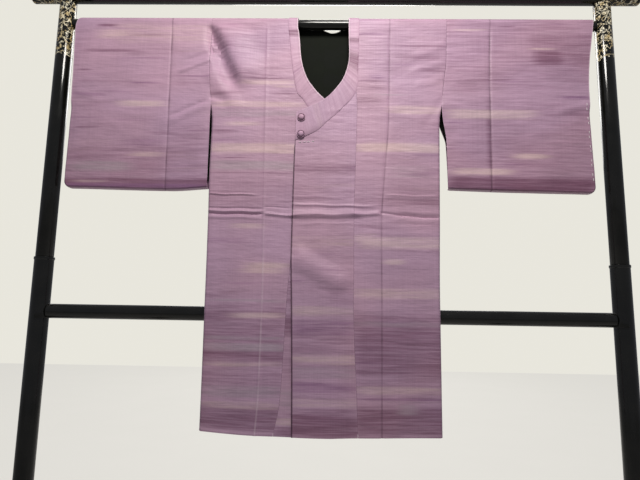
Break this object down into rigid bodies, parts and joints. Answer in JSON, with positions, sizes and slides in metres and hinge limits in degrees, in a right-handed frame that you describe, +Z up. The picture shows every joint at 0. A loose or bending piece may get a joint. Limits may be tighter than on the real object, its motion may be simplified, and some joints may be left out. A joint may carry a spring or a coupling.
{
  "type": "michiyuki coat on a kimono stand",
  "caption": "Mauve silk michiyuki coat with a curved V neck band and dome buttons, hung by its sleeves on a black tube kimono stand.",
  "frame": {"origin": "on the floor, midway between the stand's feet", "axes": "+Z up, the coat's fronts face -Y, the wearer's left is at +X"},
  "size_m": [1.57, 0.48, 1.702],
  "materials": {
    "mauve_silk": "soft sheen, slubbed, streaked across",
    "band_silk": "soft sheen, slubbed, streaked across",
    "dark_lining": "smooth, dull sheen",
    "button_silk": "smooth, soft sheen",
    "black_lacquered_tube": "gloss"
  },
  "bodies": {
    "root": {"body_right": "mauve_silk", "body_left": "mauve_silk", "overlap_left": "mauve_silk", "overlap_right": "mauve_silk", "collar_left": "band_silk", "collar_right": "band_silk", "collar_back": "band_silk", "sleeve_right": "mauve_silk", "sleeve_left": "mauve_silk", "lining_body_right": "dark_lining", "lining_body_left": "dark_lining", "lining_sleeve_right": "dark_lining", "lining_sleeve_left": "dark_lining", "button_upper": "button_silk", "button_lower": "button_silk", "post_lower_right": "black_lacquered_tube", "post_lower_left": "black_lacquered_tube", "post_upper_right": "black_lacquered_tube", "post_upper_left": "black_lacquered_tube", "foot_right": "black_lacquered_tube", "foot_left": "black_lacquered_tube", "beam": "black_lacquered_tube", "sleeve_rod": "black_lacquered_tube", "middle_rail": "black_lacquered_tube"}
  },
  "joints": []
}
